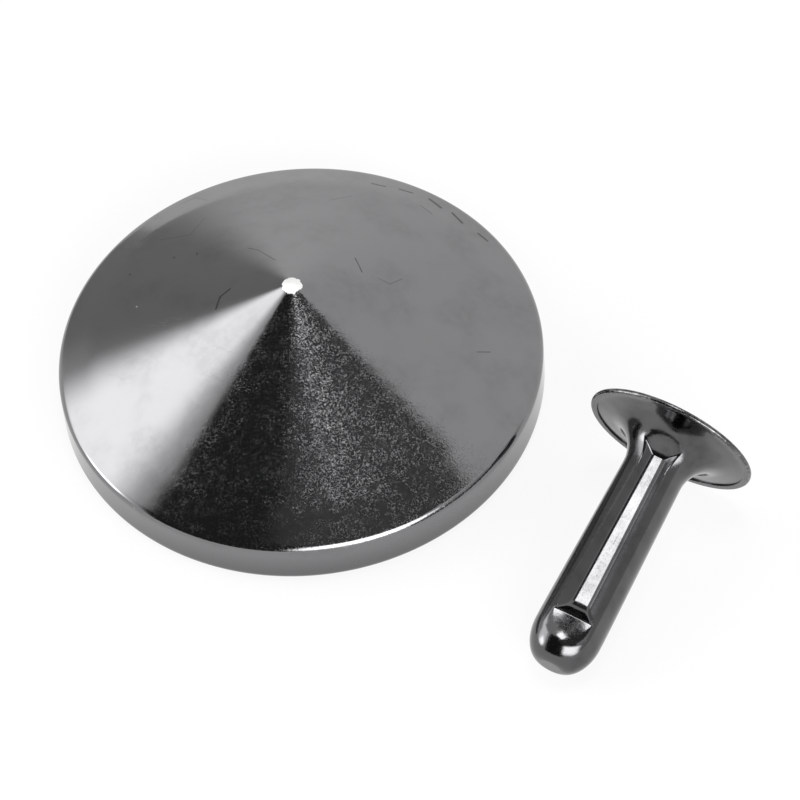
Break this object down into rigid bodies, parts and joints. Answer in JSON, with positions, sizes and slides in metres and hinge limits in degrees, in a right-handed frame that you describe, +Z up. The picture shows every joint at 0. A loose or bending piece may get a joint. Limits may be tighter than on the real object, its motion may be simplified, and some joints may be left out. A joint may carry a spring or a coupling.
{
  "type": "double cap rivet",
  "caption": "Press rivet for leather, in separate halves: a wide shallow cone cap with a socket in its back plate, and a dented tubular post with a thin flanged head.",
  "frame": {"origin": "on the cone cap's axis, on the plane that the cap and the post rest on, at the mouth of the cap's socket", "axes": "+Z up along the cone cap's axis, towards its point; the post lies on the same plane, off towards +X and -Y; the socket opens towards -Z"},
  "size_m": [0.0344, 0.033, 0.0087],
  "materials": {
    "cap_plating": "polished gunmetal plating",
    "back_plating": "satin gunmetal plating",
    "post_plating": "polished gunmetal plating",
    "head_plating": "polished gunmetal plating"
  },
  "bodies": {
    "root": {"cap_shell": "cap_plating", "cap_back_plate": "back_plating", "post_stem": "post_plating", "post_head_cap": "head_plating"}
  },
  "joints": []
}
